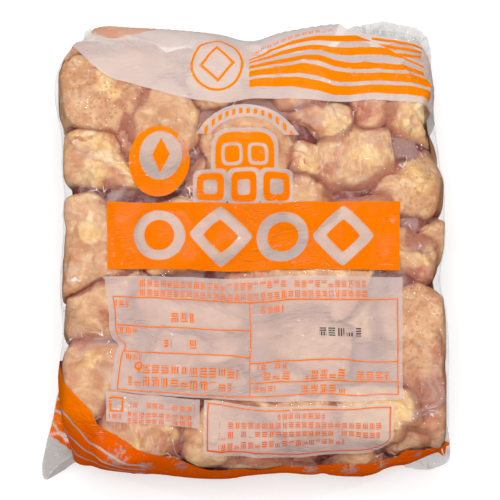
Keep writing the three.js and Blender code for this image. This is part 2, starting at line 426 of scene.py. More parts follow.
def make_wings(name, layer, looks, turns, rings, seed):
    """The wings of a layer that have these looks, as one piece with its marks as attributes."""
    chosen = [i for i, wing in enumerate(layer) if wing[3] in looks]
    mesh, sphere, numbers = unit_spheres(name, len(chosen), turns, rings)
    places = np.zeros(sphere.shape)
    marks = {kind: np.zeros(len(sphere)) for kind in (*KINDS, "seam_tint_and_shade")}
    for number, i in enumerate(chosen):
        block = numbers == number
        wing = layer[i]
        at, away, folds = wing_surface(sphere[block], wing, seed + 10 * i)
        gaps = [np.abs(gap_to(at, other)) for other in layer if other is not wing]
        # Nearness to another wing, for the painted shade and reddish tint of the crevice between
        # them
        marks["seam_tint_and_shade"][block] = 1 - smooth_step(0.0, SEAM, np.min(gaps, axis=0))
        at = packed(at)
        spots, rise = spot_weights(at)
        at = pressed(at + away * rise[:, None])
        for k, (kind, lean) in enumerate(zip(KINDS, (*LOOKS[wing[3]], NEVER, NEVER))):
            patch = sum(amount * waves(at, length, seed + start + k)
                        for amount, length, start in LOOK_PATCHES)
            marks[kind][block] = np.maximum(smooth_step(-0.3, 0.6, lean + patch), spots[kind])
        # Skin folds are tinted with the blood colour along their dips: painted shade in the folds,
        # with a reddish tint
        marks["blood"][block] = np.maximum(marks["blood"][block], 0.35 * folds)
        places[block] = at
    move_vertices(mesh, places)
    set_marks(mesh, **marks)
    return mesh, places


def set_marks(mesh, **marks):
    """Keeps these numbers or vectors on the mesh's vertices, each under its name."""
    for name, values in marks.items():
        kind, field = ("FLOAT", "value") if values.ndim == 1 else ("FLOAT_VECTOR", "vector")
        layer = mesh.attributes.new(name, kind, "POINT")
        layer.data.foreach_set(field, values.astype(np.float32).ravel())


def tree_of(*meshes):
    """A search tree over the faces of these meshes."""
    corners, faces = [], []
    for mesh in meshes:
        base = len(corners)
        corners.extend(v.co.copy() for v in mesh.vertices)
        faces.extend([base + v for v in face.vertices] for face in mesh.polygons)
    return BVHTree.FromPolygons(corners, faces)


def slab_grid(name, cells):
    """A closed box of quads in the filled bag's size, cut into cells along its three directions."""
    build = bmesh.new()
    bmesh.ops.create_cube(build, size=1, matrix=Matrix.Diagonal((*BAG_SIZE, 1)))
    for axis, count in enumerate(cells):
        along = [e for e in build.edges if abs(e.verts[0].co[axis] - e.verts[1].co[axis]) > 0.01]
        bmesh.ops.subdivide_edges(build, edges=along, cuts=count - 1, use_grid_fill=True)
    mesh = mesh_from(build, name)
    return mesh, vertex_places(mesh)


def neighbours_of(mesh):
    """Up to four neighbours of each vertex; a vertex with three stands in for its own fourth."""
    ends = np.zeros(len(mesh.edges) * 2, np.int32)
    mesh.edges.foreach_get("vertices", ends)
    ends = ends.reshape(-1, 2)
    ends = np.concatenate([ends, ends[:, ::-1]])
    ends = ends[np.argsort(ends[:, 0], kind="stable")]
    first = np.searchsorted(ends[:, 0], np.arange(len(mesh.vertices)))
    place = np.arange(len(ends)) - first[ends[:, 0]]
    near = np.repeat(np.arange(len(mesh.vertices))[:, None], 4, axis=1)
    keep = place < 4
    near[ends[keep, 0], place[keep]] = ends[keep, 1]
    return near


def curve_through(points, steps):
    """Points along a smooth curve through these, steps to a span."""
    points = np.array(points, float)
    ends = np.concatenate([2 * points[:1] - points[1:2], points, 2 * points[-1:] - points[-2:-1]])
    t = np.arange(0, len(points) - 1 + 1e-9, 1 / steps)
    i = np.minimum(t.astype(int), len(points) - 2)
    t = (t - i)[:, None]
    a, b, c, d = (ends[i + k] for k in range(4))
    return 0.5 * (2 * b + (c - a) * t + (2 * a - 5 * b + 4 * c - d) * t**2
                  + (3 * b - a - 3 * c + d) * t**3)


def reach_of_balls(start, way, middles, radius):
    """How far out along each ray the outside of any of these balls lies, or 0."""
    reach = np.zeros(len(start))
    for middle in middles:
        p = start - middle
        b = (p * way).sum(1)
        under = b * b - (p * p).sum(1) + radius**2
        reach = np.maximum(reach, np.where(under > 0, -b + np.sqrt(np.maximum(under, 0)), 0))
    return reach


def rays_of(box):
    """Where each vertex's ray starts on the bag's middle plane, and its way out."""
    start = np.clip(box, -CORE, CORE)
    way = box - start
    way /= np.linalg.norm(way, axis=1)[:, None]
    start[:, 2] = MID
    return start, way


def drawn_reach(mesh, cell, start, way, wings, ridges, passes):
    """How far out drawn film lies on each ray, and the least and the most that it may."""
    held = np.zeros(len(start))
    for i, (s, w) in enumerate(zip(start, way)):
        distance = wings.ray_cast(Vector(s + FAR_OUT * w), Vector(-w), FAR_OUT)[3]
        if distance is not None:
            held[i] = FAR_OUT - distance
    for middles, radius in ridges:
        held = np.maximum(held, reach_of_balls(start, way, middles, radius))
    held += FILM_GAP
    with np.errstate(divide="ignore"):
        level = np.where(np.abs(way[:, 2]) > 1e-6, MID / np.abs(way[:, 2]), np.inf)
    floor = np.where(way[:, 2] < 0, level, np.inf)
    held = np.minimum(np.maximum(held, LEAST_REACH * MID), floor)

    near = neighbours_of(mesh)
    sag = FILM_DRAW * cell * cell / 4
    film = held.copy()
    for _ in range(passes):
        film = np.maximum(held, np.minimum(film[near].mean(1) - sag, floor))
    return film, held, floor


def sheet_places(start, way, box):
    """The film's own x and y, measured along the bag's rounded sides, and -1 below to 1 above."""
    flat = way[:, :2]
    size = np.linalg.norm(flat, axis=1)
    lean = np.arctan2(size, way[:, 2])
    ahead = flat / np.maximum(size, 1e-6)[:, None]
    along = start[:, :2] + ahead * (MID * lean)[:, None]
    return np.column_stack([along, box[:, 2] / MID])


def film_piece(mesh, name, underside):
    """A copy of the drawn film with only what lies on the floor, or with all but that."""
    build = bmesh.new()
    build.from_mesh(mesh)
    sheet = build.verts.layers.float_vector["sheet"]
    drop = [f for f in build.faces
            if (sum(v[sheet].z for v in f.verts) / len(f.verts) <= UNDERSIDE) != underside]
    bmesh.ops.delete(build, geom=drop, context="FACES")
    return mesh_from(build, name)


# Creases of the film that the photograph shows: ends (x, y) on the sheet, half width, height
CREASES = [
    (-50, -5, -30, -28, 1.6, 1.4), (-30, -28, -11, -51, 1.4, 1.2),
    (-118, 26, -109, -10, 1.4, 1.0), (-109, -40, -96, -60, 1.6, 1.2),
    (-94, -61, -92, -72, 1.3, 1.2), (101, -48, 92, -95, 1.6, 1.4), (92, -95, 86, -120, 1.5, 1.3),
    (110, -58, 104, -93, 1.5, 1.2), (49, 118, 74, 92, 1.5, 1.0), (44, 112, 60, 96, 1.2, 0.8),
    (-54, 45, -54, 36, 0.9, 0.6), (104, 50, 112, 30, 1.4, 1.0), (106, 66, 110, 44, 1.2, 0.9),
    (-36, 110, -20, 92, 1.2, 0.8), (-80, 108, -60, 120, 1.3, 0.8), (40, 76, 52, 86, 1.2, 0.9),
    (-97, 118, -62, 104, 3.0, 2.2), (-62, 104, -38, 114, 2.6, 2.0), (-40, 132, -12, 98, 2.6, 2.0),
    (-84, 132, -50, 122, 3.0, 1.8), (8, 118, 26, 96, 2.4, 1.5), (62, 128, 86, 104, 2.6, 1.6),
    (92, 132, 101, 96, 2.4, 1.5), (-12, 126, 14, 132, 2.4, 1.5),
]
# Small creases besides these: their number, and from what to what each of their sizes goes
LOOSE_CREASES = 300
LOOSE_HALF_LENGTHS, LOOSE_WIDTHS, LOOSE_HEIGHTS = (3, 12), (0.7, 1.5), (0.15, 0.7)
CREASED_REACH = (148, 165)  # half the width and the length of sheet that they are strewn over
CREASE_SEED = 11
CREASE_TURN, CREASE_TURN_LENGTH, CREASE_TURN_SEED = 1.3, 150, 21  # how their way wanders, radians
CREASE_SCATTER = 0.5  # and how far each is off it
CREASE_WARP = (23, 1.3, 31)  # length, amount and seed of the noise that bends all creases
TIGHT_SHARE, TIGHT_GAP, SLACK_GAP = 0.35, 0.3, 4.0  # tight film takes this share of a crease
# Film over a gap is stretched: its stretch shows from the first pair of gaps and is gone by the next
STRETCHED_FROM, STRETCHED_TO = (0.6, 1.6), (4.0, 9.0)


def all_creases():
    """The listed creases and many small ones whose directions follow a smooth field."""
    rng = np.random.default_rng(CREASE_SEED)
    places = rng.uniform(-1, 1, (LOOSE_CREASES, 2)) * CREASED_REACH
    angle = CREASE_TURN * waves(places, CREASE_TURN_LENGTH, CREASE_TURN_SEED)
    angle += rng.normal(0, CREASE_SCATTER, LOOSE_CREASES)
    half, width, height = (rng.uniform(*sizes, LOOSE_CREASES)
                           for sizes in (LOOSE_HALF_LENGTHS, LOOSE_WIDTHS, LOOSE_HEIGHTS))
    reach = np.stack([np.cos(angle), np.sin(angle)], 1) * half[:, None]
    ends = np.hstack([places - reach, places + reach])
    return list(CREASES) + [(*e, w, h) for e, w, h in zip(ends, width, height)]


def crease_heights(sheet):
    """How far the creases lift the film at each place of its sheet."""
    sheet = warped(sheet, *CREASE_WARP)
    total = np.zeros(len(sheet))
    for x0, y0, x1, y1, width, height in all_creases():
        span = np.array([x1 - x0, y1 - y0])
        middle = np.array([x0 + x1, y0 + y1]) / 2
        far = np.linalg.norm(span) / 2 + 4 * width
        near = np.nonzero((np.abs(sheet - middle) < far).all(1))[0]
        p = sheet[near] - (x0, y0)
        t = np.clip(p @ span / (span @ span), 0, 1)
        away = np.linalg.norm(p - t[:, None] * span, axis=1)
        taper = np.sin(math.pi * (0.04 + 0.92 * t))
        total[near] = np.maximum(total[near], height * taper * np.exp(-(away / width) ** 1.4))
    return total


# The sheet's third number on a loose corner and on a twisted one. On the bag it is from -1 to 1.
LOOSE, TWISTED = 2, 3
PAST_BAG = 1.4  # numbers above this are off the filled part

# Loose film outside the filled part: the line it leaves the bag along, its free edge, the seed of
# its ripples, and whether it is loose or twisted
CORNERS = {
    "bottom_left": (
        [(-104, -66, 26), (-100, -92, 26), (-91, -108, 24), (-78, -122, 16)],
        [(-119, -84, 18), (-123, -101, 12), (-127, -117, 7), (-129, -128, 3), (-127, -135, 0.6),
         (-118, -130.5, 0.8), (-107, -124, 2.5), (-90, -124, 9)],
        64, TWISTED,
    ),
    "bottom_right": (
        [(104, -84, 18), (100, -98, 18), (92, -108, 16), (78, -116, 12)],
        [(117, -100, 9), (119.5, -113, 3), (118.5, -123, 0.8), (112, -127, 0.6), (104, -129, 1),
         (92, -128, 4)],
        65, LOOSE,
    ),
    "top_right": (
        [(52, 118, 22), (70, 122, 24), (90, 116, 24), (99, 104, 22)],
        [(56, 145, 21), (66, 150, 20), (80, 152, 19), (92, 150.5, 18), (103, 147, 17),
         (108, 140, 17), (109.5, 127, 18), (106, 112, 20)],
        62, LOOSE,
    ),
    "top_left": (
        [(-106, 108, 22), (-100, 116, 24), (-92, 122, 26), (-84, 126, 27)],
        [(-111, 122, 22), (-110, 133, 22), (-105.5, 137, 22), (-104.3, 143.5, 22),
         (-100, 146.5, 22), (-92, 146.5, 23), (-84, 144, 25)],
        61, LOOSE,
    ),
}
CORNER_CELLS = (64, 36)
# The ripples of a corner: its size in their measure, their height in millimetres, the lengths of
# broad and small ones, and the share of the small ones
CORNER_SPREAD, CORNER_RIPPLE = (5, 1.4), 2.6
BROAD_RIPPLE, SMALL_RIPPLE, SMALL_SHARE = 2.2, 0.8, 0.4
CORNER_CLEARANCE = 0.3  # least height over the floor at the root, and twice that at the free edge
CORNER_GAP, CORNER_STRETCH = 6.0, 0.7
BLENDED = 40  # so many of the bag's vertices lead the print on to a corner


def corner_sheet(name, root, edge, seed, level, body_places, body_sheet):
    """Loose film from its root line to its free edge. Its print goes on from the bag's own film."""
    build = bmesh.new()
    bmesh.ops.create_grid(build, x_segments=CORNER_CELLS[0], y_segments=CORNER_CELLS[1], size=0.5)
    mesh = mesh_from(build, name)
    grid = vertex_places(mesh) + 0.5
    lines = [curve_through(points, 24) for points in (root, edge)]
    ends = [np.stack([np.interp(grid[:, 0] * (len(line) - 1), np.arange(len(line)), line[:, k])
                      for k in range(3)], 1) for line in lines]
    out = grid[:, 1][:, None]
    places = ends[0] * (1 - out) + ends[1] * out
    spread = grid[:, :2] * CORNER_SPREAD
    broad = np.abs(waves(spread, BROAD_RIPPLE, seed))
    small = np.abs(waves(spread, SMALL_RIPPLE, seed + 10))
    ripple = 0.8 - broad - SMALL_SHARE * small
    free = np.sin(math.pi * np.clip(grid[:, 1], 0, 0.8))
    places[:, 2] += CORNER_RIPPLE * free * ripple
    places[:, 2] = np.maximum(places[:, 2], CORNER_CLEARANCE * (1 + grid[:, 1]))
    move_vertices(mesh, places)
    tree = KDTree(len(body_places))
    for i, place in enumerate(body_places):
        tree.insert(place, i)
    tree.balance()
    near = np.array([[i for _, i, _ in tree.find_n(place, BLENDED)] for place in places])
    sheet = (body_sheet[near] + (places[:, None] - body_places[near]) * (1, 1, 0)).mean(1)
    sheet[:, 2] = level
    # Painted highlights along the crests of the ripples and along the free edge
    ridge = 0.7 * (1 - smooth_step(0.03, 0.16, broad)) * smooth_step(0.1, 0.3, grid[:, 1])
    set_marks(mesh, sheet=sheet, gap=np.full(len(places), CORNER_GAP), rub=rubbed(sheet),
              stretched=np.full(len(places), CORNER_STRETCH),
              rim=np.maximum(ridge, smooth_step(0.96, 0.99, grid[:, 1])))
    return mesh


def linear(hex_colour):
    """An sRGB hex colour as linear red, green, blue and alpha."""
    values = [int(hex_colour[i : i + 2], 16) / 255 for i in (1, 3, 5)]
    return (*[v / 12.92 if v <= 0.04045 else ((v + 0.055) / 1.055) ** 2.4 for v in values], 1)


def add_node(tree, kind, inputs=(), operation=None, out=None, **settings):
    """Adds a node and gives its output: the one named, or else the first in use.

    inputs holds a number, a colour or another output for each socket, by key or in order, and
    operation is what a math node does with them.
    """
    node = tree.nodes.new("ShaderNode" + kind)
    if operation is not None:
        node.operation = operation
    for name, value in settings.items():
        setattr(node, name, value)
    for key, value in inputs.items() if isinstance(inputs, dict) else enumerate(inputs):
        if isinstance(value, bpy.types.NodeSocket):
            tree.links.new(value, node.inputs[key])
        else:
            node.inputs[key].default_value = linear(value) if isinstance(value, str) else value
    if out is not None:
        return node.outputs[out]
    return next((socket for socket in node.outputs if socket.enabled), None)


def new_material(name):
    """A material without nodes, and the function that adds a node to it."""
    material = bpy.data.materials.new(name)
    material.use_nodes = True
    material.node_tree.nodes.clear()
    return material, partial(add_node, material.node_tree)


def paint(add, colour, coats):
    """Lays coats over a colour: each a field, where it starts and is full, how much, and what."""
    for field, start, full, amount, coat in coats:
        mask = add("MapRange", (field, start, full, 0, amount), interpolation_type="SMOOTHSTEP")
        colour = add("Mix", {0: mask, 6: colour, 7: coat}, data_type="RGBA")
    return colour


def combined(add, operation, masks):
    """These masks taken together: MAXIMUM joins them, MULTIPLY keeps what they share."""
    whole = masks[0]
    for mask in masks[1:]:
        whole = add("Math", (whole, mask), operation)
    return whole


def carried(add, place, scale, detail, amount):
    """A place carried aside by noise, by up to half of amount each way."""
    aside = add("TexNoise", {"Vector": place, "Scale": scale, "Detail": detail}, out="Color")
    aside = add("VectorMath", (aside, (0.5, 0.5, 0.5)), "SUBTRACT")
    return add("VectorMath", (aside, amount, place), "MULTIPLY_ADD")


def off_middle(add, noise):
    """How far a noise is from its middle value, which is 0 along thin lines that wander."""
    away = add("Math", (noise, 0.5), "SUBTRACT")
    return add("Math", (away,), "ABSOLUTE")


def raw_meat():
    """Raw chicken skin, fat and cut flesh: soft, moist, wrinkled and unevenly tinted."""
    material, add = new_material("raw_chicken_skin_and_flesh")
    place = add("TexCoord", out="Object")
    mark = {kind: add("Attribute", out="Fac", attribute_name=kind)
            for kind in KINDS + ("deep", "seam_tint_and_shade")}

    # Skin lies in folds, so its patterns are carried aside by up to 5 mm
    folded = carried(add, place, 1000 / 22, 2, (0.01, 0.01, 0.01))

    def noise(millimetres, detail=3, distortion=0.0):
        """Uneven patches of about this size."""
        return add("TexNoise", {"Vector": folded, "Scale": 1000 / millimetres,
                                "Detail": detail, "Distortion": distortion})

    def lines(millimetres, width):
        """1 along thin lines that wander, falling to 0."""
        away = off_middle(add, noise(millimetres, 1.5))
        return add("MapRange", (away, width, 0), interpolation_type="SMOOTHSTEP")

    broad, medium, fine = noise(26), noise(8, 4, 0.6), noise(2.2, 3)
    small, ruddy = noise(4, 4), noise(37, 2)
    # Wrinkle and crease lines are painted darker brown as well as dipped by the bump: painted shade
    # in their dips, with a brown tint
    wrinkle = lines(9, 0.09)
    # A crease or a tendon shows along a part of its line only
    crease, tendon = (
        add("Math", (lines(size, 0.03), add("MapRange", (medium, start, full))), "MULTIPLY")
        for size, start, full in ((33, 0.45, 0.6), (41, 0.55, 0.4)))
    fibres = add("Mapping", {"Vector": folded, "Rotation": (0, 0, 0.7), "Scale": (700, 120, 400)})
    fibre = add("TexNoise", {"Vector": fibres, "Scale": 1, "Detail": 3})
    fibre = add("MapRange", (fibre, 0.48, 0.7), interpolation_type="SMOOTHSTEP")
    streaked = add("Math", (fibre, mark["streaks"]), "MULTIPLY")

    # Feather pits, 3.2 mm apart: an orange-brown dot in a shallow dip
    pits = add("TexVoronoi", {"Vector": place, "Scale": 1000 / 3.2, "Randomness": 0.6})
    pit = add("MapRange", (pits, 0.44, 0.12), interpolation_type="SMOOTHSTEP")
    pit = add("Math", (pit, mark["pimples"]), "MULTIPLY")
    uneven = add("MapRange", (small, 0.3, 0.65, 0.15, 1.0))
    bloody, gristly = (add("Math", (mark[kind], uneven), "MULTIPLY")
                       for kind in ("blood", "gristle"))
    # Painted shade with a red-brown tint: the meat darkens the deeper it lies below the film, in the
    # hollows between lobes
    edge = add("Math", (medium, 0.25, mark["deep"]), "MULTIPLY_ADD")
    # Where a wing meets another it gets painted shade in the crevice, with a reddish tint
    seam_tint_and_shade = add("Math", (broad, 0.9, mark["seam_tint_and_shade"]), "MULTIPLY_ADD")

    fat = paint(add, "#DFAE70", [(medium, 0.35, 0.65, 1.0, "#F0CF98"),
                                 (small, 0.5, 0.3, 0.4, "#C98D57")])
    flesh = paint(add, "#B76F57", [(medium, 0.3, 0.7, 1.0, "#D59B7B"),
                                   (fibre, 0, 1, 0.3, "#E4B595")])
    skin = paint(add, "#D9A87F", [
        (broad, 0.4, 0.64, 0.9, "#C48B62"),
        (medium, 0.45, 0.72, 0.6, "#E7C49B"),
        (medium, 0.48, 0.28, 0.4, "#B27653"),
        (small, 0.5, 0.75, 0.4, "#E8C8A0"),
        (ruddy, 0.52, 0.68, 0.45, "#C67D5C"),
        (mark["fat"], 0, 1, 0.85, fat),
        (mark["flesh"], 0, 1, 0.8, flesh),
        (streaked, 0, 1, 0.45, "#EFD2A9"),
        (wrinkle, 0, 1, 0.15, "#AA6A4D"),
        (tendon, 0, 1, 0.3, "#F0D6B2"),
        (pit, 0, 1, 0.5, "#BA713D"),
        (gristly, 0, 1, 0.75, "#F1DAB5"),
        (crease, 0, 1, 0.4, "#9A5A42"),
        (bloody, 0, 1, 0.8, "#AF5844"),
        # Painted shade with a red-brown tint: in the crevices where wings meet, and deeper below the
        # film
        (seam_tint_and_shade, 0.6, 1.35, 0.75, "#A05A47"),
        (edge, 0.2, 0.45, 0.55, "#A0584A"),
        (edge, 0.38, 0.85, 0.94, "#662A25"),
    ])

    relief = fine
    for field, height in ((pit, -0.5), (wrinkle, -0.4), (crease, -0.7), (small, 0.8)):
        relief = add("Math", (field, height, relief), "MULTIPLY_ADD")
    bump = add("Bump", {"Height": relief, "Distance": 0.0007, "Strength": 0.5})
    # IOR near water, as the surface is moist; light goes a few millimetres into skin and fat
    shader = add("BsdfPrincipled", {
        "Base Color": skin, "Roughness": 0.42, "IOR": 1.38, "Normal": bump,
        "Subsurface Weight": 0.2, "Subsurface Scale": 0.002,
        "Subsurface Radius": (1.0, 0.45, 0.25),
    })
    add("OutputMaterial", {"Surface": shader})
    return material


def frozen_juice_ice():
    """Frozen juice between the wings: dark red-brown ice, dull and pale where frost lies on it."""
    material, add = new_material("frozen_meat_juice")
    place = add("TexCoord", out="Object")
    patches = add("TexNoise", {"Vector": place, "Scale": 90, "Detail": 4})
    frost = add("TexNoise", {"Vector": place, "Scale": 420, "Detail": 3})
    cloudy = add("TexNoise", {"Vector": place, "Scale": 1000 / 20, "Detail": 4, "Distortion": 0.8})
    colour = paint(add, "#64201A", [
        (patches, 0.35, 0.65, 1.0, "#86403A"),
        (frost, 0.5, 0.75, 0.4, "#B08882"),
        (cloudy, 0.46, 0.6, 0.6, "#B8948D"),
    ])
    bump = add("Bump", {"Height": frost, "Distance": 0.0008, "Strength": 0.7})
    # The IOR is that of ice
    shader = add("BsdfPrincipled", {
        "Base Color": colour, "Roughness": 0.5, "IOR": 1.31, "Normal": bump})
    add("OutputMaterial", {"Surface": shader})
    return material


# The print, in millimetres on the sheet. Each layer is painted over the ones before it.
BARE, WHITE, ORANGE, BLACK, TINT = range(5)
LINE_REACH = 160  # half the span that a printed line's points may have

# Lines through points (x, y): edges of the white ground, stripes, fold, bottom band and panels
WHITE_EDGE = [
    (-125, 142), (-112, 129), (-99, 113.3), (-88, 104), (-76, 100.7), (-60, 97.2), (-45, 92.6),
    (-30, 89.3), (-16, 88.3), (-2, 91.5), (13, 92), (28, 91.3), (50, 89.9), (77, 91.6), (95, 89.6),
    (118, 86),
]
WHITE_TOP = [(-125, 134), (-106, 135), (-97, 137), (-91, 133), (-85, 131.5), (-76, 134.7),
             (-64, 141), (-52, 152), (-40, 159), (48, 159), (54, 146), (59, 141), (69.5, 140.1),
             (76, 139.3), (83.5, 138.4), (90, 137.9), (98, 138.8), (106, 142.5)]
STRIPES_TOP = [(-4, 117.5), (10, 127.8), (22, 133.2), (34, 135.4), (50, 135.7), (77, 138.5),
               (95, 136.5), (115, 131)]
STRIPES = [(0.098, 0.228), (0.284, 0.447), (0.517, 0.638), (0.743, 0.834), (0.912, 1.0)]
FOLD_DIAGONAL = [(56, 139), (62.6, 137.6), (69.5, 135.6), (75, 133.6), (80.5, 131.2), (85.2, 129),
                 (90.3, 126.5), (100.6, 125), (113, 122.5)]
TURNED_ROW = [(70, 136.6), (76, 136.3), (86.5, 135.4), (94, 135.8), (101.4, 137), (112, 140)]
BAND_EDGE = [
    (-158, -62), (-118, -76), (-114.8, -81), (-110.9, -88.3), (-105, -98.2), (-99.5, -106.9),
    (-96, -115.1), (-84, -121.5), (-72, -126.8), (-60.4, -131), (-48.5, -135.2), (-36, -139.2),
    (-24, -142), (-2.4, -142.3), (30, -144.5), (58, -142), (78.5, -140), (87, -139), (90, -135.5),
    (107, -134), (116, -128), (158, -120),
]
PANEL_FOOT = [(-90, -92.2), (-64, -95.6), (-40, -96.4), (-2, -98.2), (28, -100), (58, -99.4),
              (90, -98.6)]
PANEL_DENT = [(-100, 4.4), (-92.6, 4.5), (-85, 5.2), (-71.5, 7), (-64.2, 9), (-60, 5.5), (-42, 3),
              (-22, 0.7), (-16, 0.5)]
PANEL_BOW = [(-90, 0), (-52, 1.8), (-8, 3.4), (30, 3), (88, 2.5)]
LOWER_PANEL_TOP = [(-31, -97.8), (-14, -99.7), (-2, -101.6), (28, -103.2), (58, -101.8),
                   (85, -101)]
LOWER_PANEL_FOOT = [(-31, -129.3), (-16, -130.9), (6, -133.9), (22, -136.3), (38, -136.1),
                    (54, -134.8), (74, -130.9), (81, -126), (85, -120)]
LOWER_PANEL_SIDES = (-30.8, 84.6)
LOWER_FRAME_INWARD, LOWER_FRAME_HALF = 2.4, 0.4
# White lines across the bottom left corner and where its orange ends, on the corner's diagonals:
# (along, outwards from CORNER_START)
CORNER_START = 150
CORNER_LINES = [
    [(-60, 18), (-38, 14), (-11, 7), (0, 12), (15, 15.5), (26, 8), (44, -1), (70, -16)],
    [(-60, 24), (-38, 23), (-13, 23), (4, 25.5), (18, 23), (29, 13.5), (44, 5), (70, -10)],
    [(-60, 29), (-37, 31), (-20, 36), (0, 38), (22, 31), (34, 18), (50, 8), (75, -6)],
]
CORNER_END = [(-60, 36), (-30, 42), (0, 44), (15, 40), (28, 28), (50, 10), (90, -30)]
CORNER_LINE_HALF = 0.85
CORNER_LINES_LEFT_OF = -66
BAND_RIGHT = (-0.595, 234)  # the band ends where x and this share of y come to this sum
BAND_LOW = -180  # the band goes on under the bag as far as this

# Boxes (left, right, bottom, top) and ovals (x, y, half width, half height, power)
GROUND_LOW = 80
FOLD_BOX = (-101, 40, 120, 160)
STRIPES_SPAN = (-3, 112)
STRIPES_BUNCHED = (-2, 49, 1.67, 1.0)  # from x to x, the stripes' shares are raised to these powers
TURNED_LEFT = 60
TURNED_BOX = (73, 108.5, -10.2, 1.2)
TURNED_PITCH, TURNED_START, TURNED_SHARE = 4.3, 0.25, 0.52
EDGE_BLOCKS_BOX = (-1, 48, 2.4, 5)
ARC_MIDDLE, ARC_FOOT = (-4.3, 50), 69
ARC_SIZES = [(36.5, 38), (29, 30)]
BARS_SIZES = [(34.2, 35.7), (31.3, 32.3)]
BARS_PITCH = 4.4
MAIN_BAND = (-89, 88.5, -17.2, 26)
RING_PITCH, RING_FIRST, RING_MIDDLE = 37.2, -57.3, 4.4
RINGS_BOTTOM, RINGS_TOP = -20, 30
RINGS = [(WHITE, 15.8, 19), (ORANGE, 9.4, 10.4)]  # reach of a ring, and of the diamond beside it
RING_POWER, RING_DIAMOND_POWER = 2, 1.15
TOP_SHAPES = [
    (ORANGE, (-22.5, 113, 16, 18, 2)), (WHITE, (-22.5, 113, 14.4, 16.4, 2)),
    (ORANGE, (-22.5, 113, 11, 12.5, 1)), (WHITE, (-22.5, 113, 8.6, 10.1, 1)),
]
MIDDLE_SHAPES = [
    (WHITE, (-5.4, 54, 20.5, 18.5, 4)), (ORANGE, (-5.4, 54, 18, 16, 4)),
    (WHITE, (-13.4, 55.5, 6.4, 7.4, 4)), (WHITE, (2.6, 55.5, 6.4, 7.4, 4)),
    (ORANGE, (-13.4, 55.5, 4.4, 5.4, 4)), (ORANGE, (2.6, 55.5, 4.4, 5.4, 4)),
    (ORANGE, (-57.8, 51.6, 18.4, 21.3, 2)), (WHITE, (-57.1, 55.1, 12.8, 14.3, 2)),
    (ORANGE, (-57.1, 55.1, 5.2, 10, 1)),
]
# The row of three plain blocks above the main band
ROW_START, ROW_PITCH, ROW_MIDDLE, ROW_POWER = -36.6, 20.2, 35.6, 5
ROW_SPAN = (ROW_START, ROW_START + 3 * ROW_PITCH, 20, 50)
ROW_SIZES = [(WHITE, 10.6, 11), (ORANGE, 8, 8.6), (WHITE, 4, 4.4)]
PANEL_BOX = (-91, 90, -110, -21.6)
PANEL_DENTED = (-70, -20)  # the dent fades out to the right between these
PANEL_BOWED = (-22, -45)  # the bow grows downwards between these
FRAME = (-87.4, 87.2, -92.6, -34)
FRAME_LINE = 0.75
PANEL_SHAPES = [
    (ORANGE, (-87, -2.4, -51.6, -50.8)), (ORANGE, (-87, -2.4, -68.2, -67.4)),
    (ORANGE, (-2.4, 87, -71.6, -70.8)), (ORANGE, (-2.4, 87, -84.2, -83.4)),
    (ORANGE, (-2.9, -2.2, -92.6, -34)), (ORANGE, (-75.6, -76.6, 2.7, 2.9, 2)),
    (WHITE, (-75.6, -76.6, 1.5, 1.7, 2)),
]
SMALL_ROWS = [
    (-71, 68, -28, -23.8), (-71, 70, -33.4, -29.4), (-84, -76, -40.4, -36.6),
    (-81.5, -71, -56.2, -52.4), (-79, -68, -73, -69.4), (-1, 18, -40.4, -36.6),
    (2.2, 19.6, -76, -72.2), (0, 13.4, -89.4, -85.8),
]
LARGE_ROWS = [
    (-51, -36, -48, -42), (-54, -49.4, -64.4, -58.8), (-40.4, -34.6, -64.4, -58.8),
    (-70.4, -9, -81.2, -75.6), (-76, -14, -89, -83.4), (4, 22, -82.6, -77.2),
    (30.4, 81, -82.6, -77.2), (28, 55.6, -91.4, -86),
]
DARK_ROW = (38.6, 65, -56.2, -50.8)
LOWER_PANEL_ROWS = [
    (14, 43, -111.4, -107.8), (-21.6, 77, -117, -113.4), (-21.6, 76, -122.2, -118.6),
    (-21.6, 55, -128.2, -124.6),
]
SMALL_PANEL_SHAPES = [
    (WHITE, (-89.3, -33.2, -119, -100)), (ORANGE, (-87.2, -79.2, -112.2, -102.8)),
    (WHITE, (-86.1, -80.3, -111.1, -103.9)),
]
SMALL_PANEL_ROWS = [
    (-76, -36, -108.6, -105), (-76.4, -37, -114.8, -111.6), (-76.4, -37, -118.6, -115.6),
    (-88, -80, -116.6, -113.6),
]
SMALL_PANEL_LEAN = 0.065
# Plain blocks stand in rows
SMALL_PITCH, LARGE_PITCH = 4.1, 5.6  # millimetres
BLOCK_ROWS = 0.23  # rows to a millimetre
BARS, BAR_SHARE = 3.6, 0.56  # bars to a block, and how much of its pitch a bar fills
BLOCK_MIDDLE, BLOCK_HALF = 0.45, 0.38  # shares of the block's pitch
TURNED_CHANCE, EMPTY_CHANCE = 0.5, 0.1

# Places (x, y, reach) where the ink is rubbed off in specks
RUBBED = [(-43, 62, 9), (-82, -134, 8), (-66, -140, 7), (-44, -141, 5), (34, -148, 6),
          (58, -147, 7), (78, -145, 5), (105, -140, 5)]

WHITE_COVER, FOLD_COVER = 0.48, 0.67  # the fold has ink on both its layers
ORANGE_COVER, BLACK_COVER, TINT_COVER = 1.0, 0.9, 0.6

# Patterns on the sheet: size in millimetres, detail, roughness and distortion
FILM_PATTERNS = {
    "specks": (2, 4, 0.6, 0),
    "milky_haze_and_sheen": (26, 4, 0.6, 1.2),
    "sharp": (13, 2, 0.6, 0.4),
    "broken": (9, 2, 0.5, 0),
    "smudged": (12, 3, 0.5, 1.0),
}


